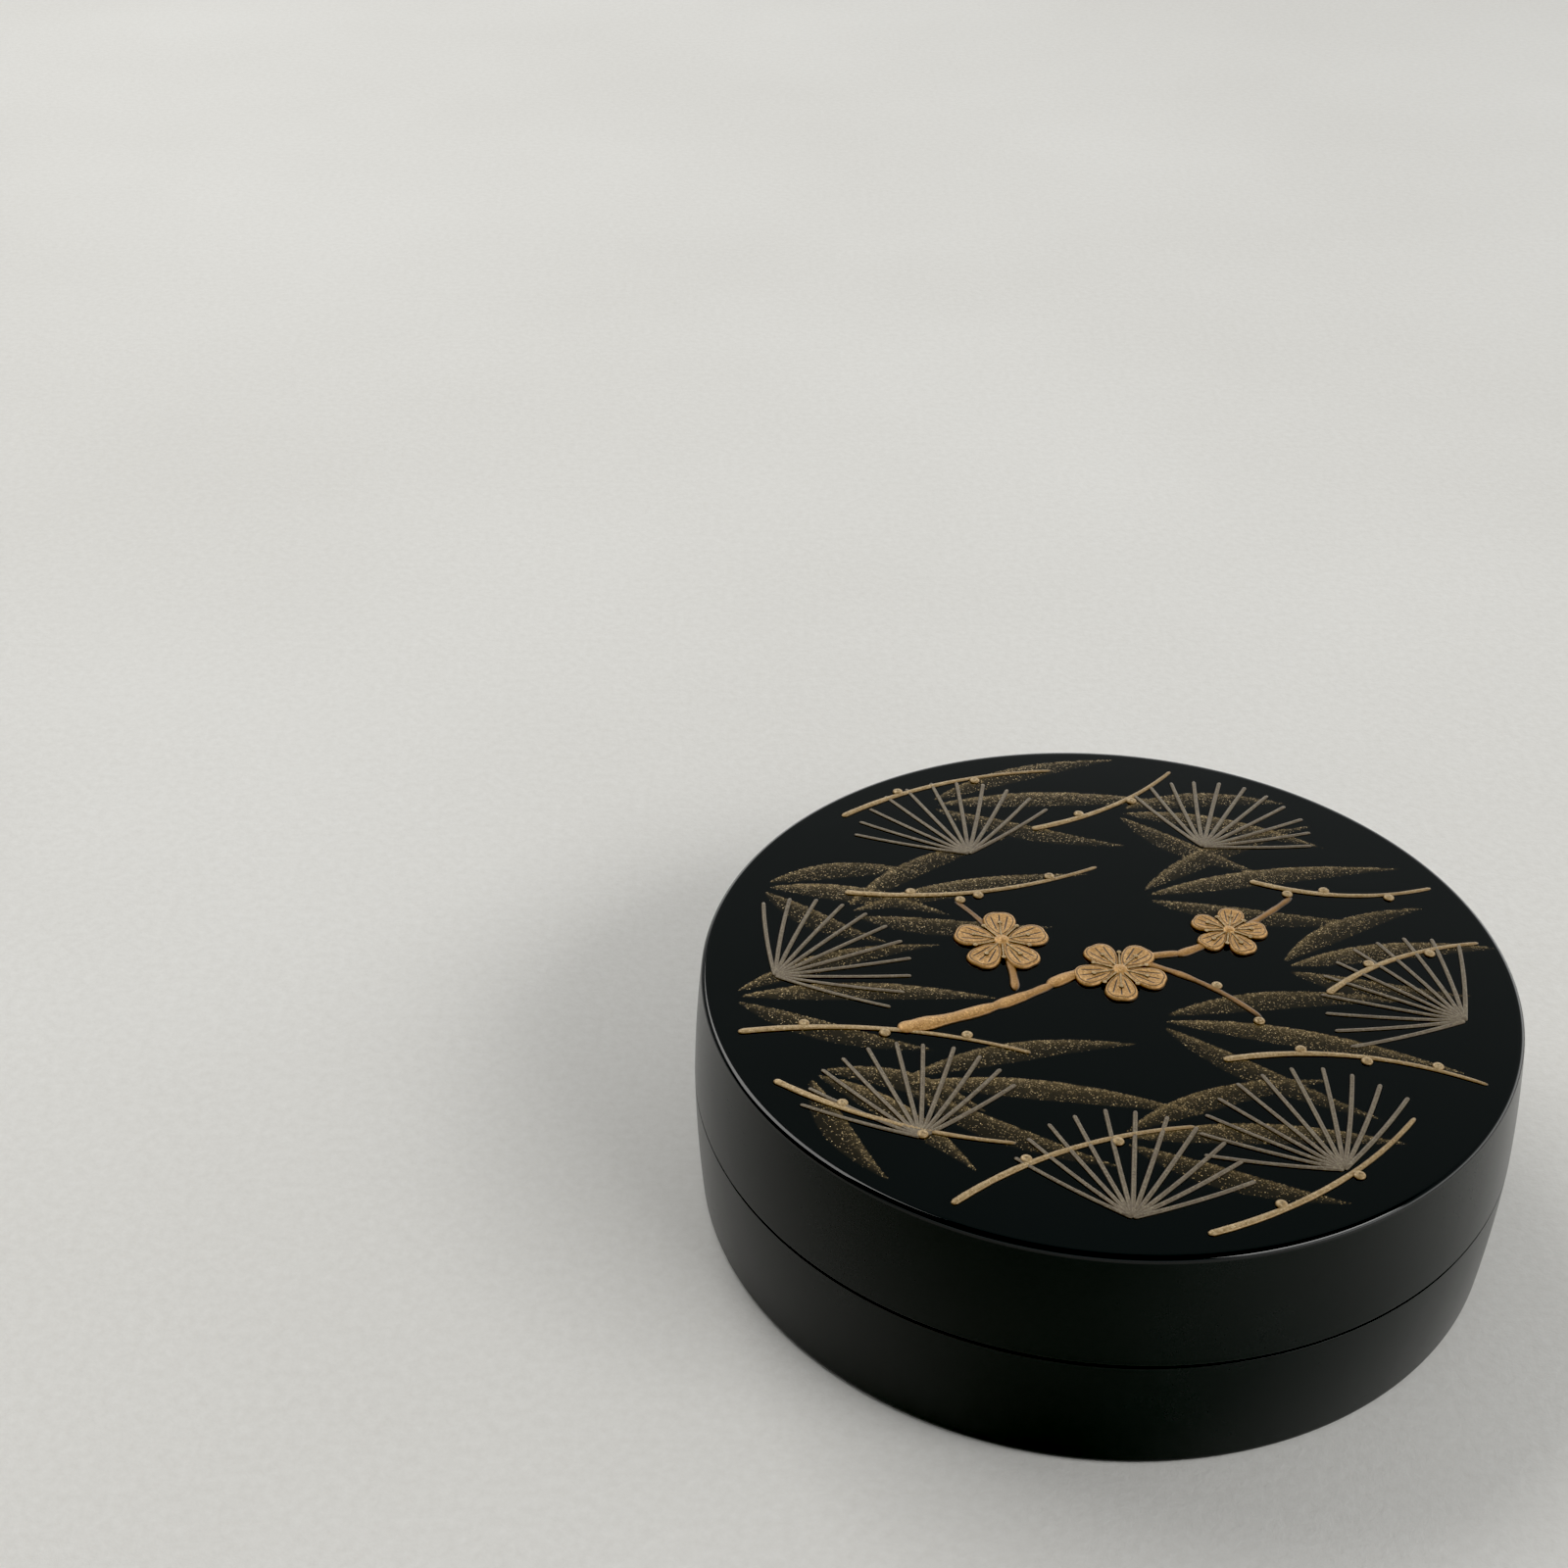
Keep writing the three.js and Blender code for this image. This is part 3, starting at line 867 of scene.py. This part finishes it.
def picture_lacquer(name):
    """Polished black lacquer with bamboo leaves in sprinkled gold dust."""
    material, tree, shader, coords = start_material(name)
    shader.inputs["IOR"].default_value = 1.5
    dim, middle, bright = DUST_TONES
    sway = noise(tree, coords, scale=45)
    wipe = noise(tree, coords, scale=130, detail=4.0, roughness=0.6)
    ragged = noise(tree, coords, scale=2200)
    inside = named_number(tree, "leaf_edge")
    inside = calc(tree, "MULTIPLY_ADD", calc(tree, "SUBTRACT", ragged, 0.5), 0.12, inside)
    leaf = remap(tree, inside, -0.04, 0.05, smooth=True)
    clots = noise(tree, coords, scale=1500, detail=3.0, roughness=0.65)
    clots = remap(tree, clots, 0.3, 0.7, 0.75, 1.25)
    density = calc(tree, "MULTIPLY", named_number(tree, "leaf_dust"), clots)
    density = calc(tree, "MULTIPLY", density, leaf)
    pick, shade, distance = cells(tree, coords, scale=9500)
    chosen = calc(tree, "LESS_THAN", pick, density)
    round_grain = calc(tree, "LESS_THAN", distance, 0.66)
    grain = calc(tree, "MULTIPLY", chosen, round_grain)
    tone = mix_color(tree, remap(tree, shade, 0.0, 0.8), dim, middle)
    tone = mix_color(tree, remap(tree, shade, 0.82, 1.0), tone, bright)
    ground = mix_color(tree, calc(tree, "MULTIPLY", density, 1.5), BLACK, DUST_HAZE)
    feed(tree, shader.inputs["Base Color"], mix_color(tree, grain, ground, tone))
    feed(tree, shader.inputs["Metallic"], calc(tree, "MULTIPLY", grain, 0.8))
    gloss = calc(tree, "MULTIPLY_ADD", remap(tree, wipe, 0.4, 0.75), 0.05, 0.055)
    feed(tree, shader.inputs["Roughness"], mix_number(tree, grain, gloss, 0.42))
    height = calc(tree, "MULTIPLY_ADD", sway, 6.0, calc(tree, "MULTIPLY", grain, 0.8))
    bump(tree, shader, height, distance=0.01 * MM, strength=0.5)
    return material


def powder(name, tones, lines=None):
    """Sprinkled metal powder in three tones, with painted shade that darkens it and lines it where
    the relief meets the lacquer.
    """
    material, tree, shader, coords = start_material(name)
    shader.inputs["IOR"].default_value = 1.5
    dark, middle, bright = tones
    pick, shade, _ = cells(tree, coords, scale=7000)
    patch = noise(tree, coords, scale=420, detail=3.0, roughness=0.6)
    patch = remap(tree, patch, 0.3, 0.7, 0.2, 0.9)
    tone = mix_color(tree, remap(tree, shade, 0.55, 1.0), middle, bright)
    dull = calc(tree, "MULTIPLY", remap(tree, pick, 0.5, 1.0), patch)
    tone = mix_color(tree, dull, tone, dark)
    foot = named_number(tree, "foot")
    # Painted shade: the powder's tone darkens toward the relief's foot, where it meets the lacquer
    tone = mix_color(tree, remap(tree, foot, 0.2, 0.7, 0.0, 0.75), tone, dark)
    # A dark line at the relief's foot is painted shade; engraved lines and marks from lines() join
    # it
    dark_marks_and_foot_shade = remap(tree, calc(tree, "MULTIPLY_ADD", shade, 0.12, foot), 0.62, 0.96, smooth=True)
    if lines:
        dark_marks_and_foot_shade = calc(tree, "MAXIMUM", dark_marks_and_foot_shade, lines(tree))
    feed(tree, shader.inputs["Base Color"], mix_color(tree, dark_marks_and_foot_shade, tone, DARK_LINE_AND_FOOT_SHADE))
    feed(tree, shader.inputs["Metallic"], calc(tree, "MULTIPLY_ADD", dark_marks_and_foot_shade, -0.4, 0.4))
    rough = mix_number(tree, dark_marks_and_foot_shade, calc(tree, "MULTIPLY_ADD", shade, 0.14, 0.4), 0.3)
    feed(tree, shader.inputs["Roughness"], rough)
    drop = calc(tree, "MULTIPLY", dark_marks_and_foot_shade, 2.0)
    height = calc(tree, "SUBTRACT", calc(tree, "MULTIPLY", shade, 0.6), drop)
    bump(tree, shader, height, distance=0.03 * MM, strength=0.5)
    return material


# Half the angle between a petal's veins, in radians, and where the line inside its edge runs
VEIN_SPREAD = 0.11
EDGE_LINE_SHARE = 0.8


def bud_eye(tree):
    """A dull spot on top of each bud."""
    return remap(tree, named_number(tree, "foot"), 0.0, 0.045, 0.6, 0.0, smooth=True)


def petal_lines(tree):
    """Dark engraved veins that fan out along each petal, and a line inside its edge."""
    place = add_node(tree, "ShaderNodeAttribute", attribute_name="petal_place").outputs["Vector"]
    parts = add_node(tree, "ShaderNodeSeparateXYZ", {"Vector": place}).outputs
    out, aside, share = parts["X"], parts["Y"], parts["Z"]
    angle = calc(tree, "ABSOLUTE", calc(tree, "ARCTAN2", aside, out))
    stripe = calc(tree, "PINGPONG", angle, VEIN_SPREAD)
    near = calc(tree, "MULTIPLY", stripe, out)
    vein = remap(tree, near, 0.008, 0.02, 1.0, 0.0, smooth=True)
    reach = remap(tree, share, 0.55, 0.7, 1.0, 0.0, smooth=True)
    from_ring = calc(tree, "ABSOLUTE", calc(tree, "SUBTRACT", share, EDGE_LINE_SHARE))
    ring = remap(tree, from_ring, 0.015, 0.045, 0.85, 0.0, smooth=True)
    return calc(tree, "MAXIMUM", calc(tree, "MULTIPLY", vein, reach), ring)


# The box and its picture

satin = satin_lacquer("satin_lacquer")
polished = picture_lacquer("picture_lacquer")
gold = powder("gold_powder", GOLD)
petal_gold = powder("petal_powder", GOLD, petal_lines)
pale_gold = powder("pale_gold_powder", PALE_GOLD)
bud_gold = powder("bud_powder", PALE_GOLD, bud_eye)
rose_silver = powder("rose_silver_powder", ROSE_SILVER)


def make_body():
    """The lower half of the box, turned, with its rim and its hollow."""
    vertices, faces = turned(body_outline(), BODY_STEPS)
    return mesh_object("body_shell", vertices, faces, [satin])


def make_lid():
    """The upper half of the box, turned, with the leaves' numbers on its crown."""
    vertices, faces = turned(lid_outline(), CROWN_SECTORS * CROWN_RINGS)
    add_crown(vertices, faces, CROWN_RINGS)
    lid = mesh_object("lid_shell", vertices, faces, [satin, polished])
    mesh = lid.data
    places = np.empty(3 * len(mesh.vertices), dtype=np.float32)
    mesh.vertices.foreach_get("co", places)
    x, y, z = places.reshape(-1, 3).T
    crown_low_z = LID_TOP_Z - TOP_EDGE_ROUND
    on_crown = z > crown_low_z
    inside, dust = leaf_fields(x, y)
    add_field(mesh, "leaf_edge", np.where(on_crown, inside, -1))
    add_field(mesh, "leaf_dust", np.where(on_crown, dust, 0))
    for face in mesh.polygons:
        face.material_index = int(face.center.z > crown_low_z)
    return lid


def make_strokes(name, tree, rows, size, finish, material, lift=0.0):
    """Strokes of one width and height, with how much they thin and how knotty they are."""
    width, height = size
    taper, knots, knot_scale = finish
    values = {
        "Width": width,
        "Height": height,
        "Taper": taper,
        "Knots": knots,
        "Knot Scale": knot_scale,
        "Lift": lift,
        "Material": material,
    }
    host = points_mesh(name, rows, ("heading", "reach", "bow", "girth"), lift)
    return grown(name, tree, host, values)


def make_figures(name, tree, rows, figure, height, material, lift=0.0):
    """Copies of one figure, each with its own heading and size."""
    values = {"Height": height, "Lift": lift, "Figure": figure, "Material": material}
    host = points_mesh(name, rows, ("heading", "size"), lift)
    return grown(name, tree, host, values)


def make_twigs(tree):
    rows = [stroke_row(*twig[:3]) for twig in TWIGS]
    finish = STEM_TAPER, TWIG_KNOTS, TWIG_KNOT_SCALE
    return make_strokes("twigs", tree, rows, (TWIG_WIDTH, TWIG_HEIGHT), finish, pale_gold)


def make_branch(tree):
    rows = [stroke_row(*branch[:4]) for branch in BRANCHES]
    finish = STEM_TAPER, BRANCH_KNOTS, BRANCH_KNOT_SCALE
    return make_strokes("plum_branch", tree, rows, (BRANCH_WIDTH, BRANCH_HEIGHT), finish, gold)


def make_needles():
    rows = [
        (x * PICTURE_RADIUS, y * PICTURE_RADIUS, math.radians(heading), reach * PICTURE_RADIUS)
        for x, y, heading, reach in SPRAYS
    ]
    values = {
        "Width": NEEDLE_WIDTH,
        "Height": NEEDLE_HEIGHT,
        "Taper": NEEDLE_TAPER,
        "Knots": NEEDLE_KNOTS,
        "Knot Scale": NEEDLE_KNOT_SCALE,
        "Count": NEEDLE_COUNT,
        "Spread": SPRAY_SPREAD,
        "Outer Loss": OUTER_NEEDLE_LOSS,
        "Curl": NEEDLE_CURL,
        "Seed": NEEDLE_SEED,
        "Material": rose_silver,
    }
    host = points_mesh("pine_needles", rows, ("heading", "reach"))
    return grown("pine_needles", spray_tree(), host, values)


def make_stamens(tree):
    size = STAMEN_WIDTH, STAMEN_HEIGHT
    finish = STAMEN_TAPER, STAMEN_KNOTS, TWIG_KNOT_SCALE
    return make_strokes("stamens", tree, stamen_rows(), size, finish, pale_gold, STAMEN_LIFT)


def make_anthers(tree, figure):
    rows = anther_rows()
    return make_figures("anthers", tree, rows, figure, ANTHER_HEIGHT, pale_gold, STAMEN_LIFT)


def make_relief():
    """All that stands out from the lid's top."""
    strokes, figures = stroke_tree(), figure_tree()
    buds = bud_rows(TWIGS) + bud_rows([(*branch[:3], branch[4]) for branch in BRANCHES])
    petals = blossom_rows(0, 1, PETAL_COUNT)
    bosses = blossom_rows(0, BOSS_SHARE, 1)
    dome_shape = dome("dome_figure", DOME_RINGS, DOME_SIDES)
    petal_shape = petal("petal_figure", PETAL_RINGS, PETAL_SIDES)
    pieces = [
        make_twigs(strokes),
        make_branch(strokes),
        make_needles(),
        make_figures("buds", figures, buds, dome_shape, BUD_HEIGHT, bud_gold),
        make_figures("plum_petals", figures, petals, petal_shape, PETAL_HEIGHT, petal_gold),
        make_figures("plum_bosses", figures, bosses, dome_shape, BOSS_HEIGHT, gold),
        make_stamens(strokes),
        make_anthers(figures, dome_shape),
    ]
    bpy.data.objects.remove(dome_shape)
    bpy.data.objects.remove(petal_shape)
    return pieces


body_shell = make_body()
lid_shell = make_lid()
relief_pieces = make_relief()

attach(body_shell, "root")
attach(lid_shell, "root")
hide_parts("body")
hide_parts("lid")
for piece in relief_pieces:
    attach(piece, "root")


# Floor, light and camera

# The floor: half its width in metres, and its two tones
FLOOR_HALF = 6.0
FLOOR_DARK = (0.71, 0.70, 0.675, 1)
FLOOR_LIGHT = (0.79, 0.785, 0.765, 1)

# The room: the tones of its walls and ceiling, and the glow low behind, in front and at the right
DIM_WALLS = (0.13, 0.13, 0.13, 1)
PALE_WALLS = (0.34, 0.345, 0.34, 1)
RIGHT_WALL = (0.4, 0.4, 0.395, 1)
CEILING = (0.12, 0.12, 0.12, 1)
LOW_GLOW = (2.1, 2.12, 2.08, 1)
FRONT_GLOW_SHARE = 0.22
LIGHT_TARGET = (0, 0, 10 * MM)

# The camera: its place, how far it looks down and leans in radians, its lens and its sensor in
# plain millimetres, and the least distance that it sees
CAMERA_PLACE = (-31.36 * MM, -184.57 * MM, 167.68 * MM)
CAMERA_FALL = 0.582
CAMERA_ROLL = 0.007
CAMERA_LENS = 55.2
CAMERA_SENSOR = 36
CAMERA_NEAR = 10 * MM

# The level that is taken off all brightness, so that the darkest tones are black
BLACK_LEVEL = 0.017


def pale_floor():
    """A pale table top with a faint mottle and grain."""
    material, tree, shader, coords = start_material("pale_floor")
    cloud = noise(tree, coords, scale=9, detail=4.0)
    grain = noise(tree, coords, scale=900, detail=3.0, roughness=0.7)
    mottle = calc(tree, "MULTIPLY_ADD", grain, 0.5, calc(tree, "MULTIPLY", cloud, 0.5))
    tint = mix_color(tree, remap(tree, mottle, 0.35, 0.65), FLOOR_DARK, FLOOR_LIGHT)
    feed(tree, shader.inputs["Base Color"], tint)
    shader.inputs["Roughness"].default_value = 0.62
    bump(tree, shader, grain, distance=0.2 * MM, strength=0.25)
    return material


def make_floor():
    signs = [(-1, -1), (1, -1), (1, 1), (-1, 1)]
    corners = [(x * FLOOR_HALF, y * FLOOR_HALF, 0) for x, y in signs]
    return mesh_object("floor", corners, [(0, 1, 2, 3)], [pale_floor()])


def add_area(name, place, size, power, colour):
    """A soft lamp turned to the box."""
    light = bpy.data.lights.new(name, "AREA")
    light.shape = "RECTANGLE"
    light.size, light.size_y = size
    light.energy = power
    light.color = colour
    lamp = bpy.data.objects.new(name, light)
    bpy.context.scene.collection.objects.link(lamp)
    turn = (Vector(LIGHT_TARGET) - Vector(place)).to_track_quat("-Z", "Y")
    lamp.matrix_world = Matrix.Translation(place) @ turn.to_matrix().to_4x4()


def light_room():
    """A room with a dim ceiling, a low glow behind and at the right, and two soft lamps."""
    world = bpy.data.worlds.new("room")
    bpy.context.scene.world = world
    world.use_nodes = True
    tree = world.node_tree
    direction = add_node(tree, "ShaderNodeTexCoord").outputs["Generated"]
    parts = add_node(tree, "ShaderNodeSeparateXYZ", {"Vector": direction}).outputs
    low = remap(tree, parts["Z"], 0.28, 0.5, 1.0, 0.0, smooth=True)
    overhead = remap(tree, parts["Z"], 0.74, 0.85, smooth=True)
    front = remap(tree, parts["Y"], -0.1, -0.8, smooth=True)
    behind = remap(tree, parts["Y"], -0.1, 0.7, smooth=True)
    right = remap(tree, parts["X"], 0.2, 0.9, smooth=True)
    not_left = remap(tree, parts["X"], -0.65, -0.15, smooth=True)
    colour = mix_color(tree, calc(tree, "MAXIMUM", front, behind), DIM_WALLS, PALE_WALLS)
    colour = mix_color(tree, right, colour, RIGHT_WALL)
    colour = mix_color(tree, overhead, colour, CEILING)
    behind = calc(tree, "MULTIPLY", behind, not_left)
    glow = calc(tree, "MAXIMUM", behind, calc(tree, "MULTIPLY", front, FRONT_GLOW_SHARE))
    glow = calc(tree, "MULTIPLY", calc(tree, "MAXIMUM", glow, right), low)
    colour = mix_color(tree, glow, colour, LOW_GLOW)
    feed(tree, tree.nodes["Background"].inputs["Color"], colour)
    add_area("key", (0.62, -0.46, 0.62), size=(0.7, 0.3), power=3.8, colour=(1.0, 0.99, 0.965))
    place = (-0.42, 0.48, 0.77)
    add_area("back_left", place, size=(0.7, 0.5), power=3.9, colour=(1.0, 0.985, 0.955))


def add_camera():
    """The photograph's viewpoint, square on to its frame."""
    camera = bpy.data.cameras.new("camera")
    camera.sensor_width = CAMERA_SENSOR
    camera.lens = CAMERA_LENS
    camera.clip_start = CAMERA_NEAR
    holder = bpy.data.objects.new("camera", camera)
    bpy.context.scene.collection.objects.link(holder)
    fall = Matrix.Rotation(math.pi / 2 - CAMERA_FALL, 4, "X")
    turn = fall @ Matrix.Rotation(CAMERA_ROLL, 4, "Z")
    holder.matrix_world = Matrix.Translation(CAMERA_PLACE) @ turn
    bpy.context.scene.camera = holder


def set_tone():
    """Plain tones with deep blacks."""
    settings = bpy.context.scene.view_settings
    settings.view_transform = "Standard"
    settings.use_curve_mapping = True
    settings.curve_mapping.black_level = (BLACK_LEVEL, BLACK_LEVEL, BLACK_LEVEL)
    settings.curve_mapping.update()


make_floor()
light_room()
add_camera()
set_tone()
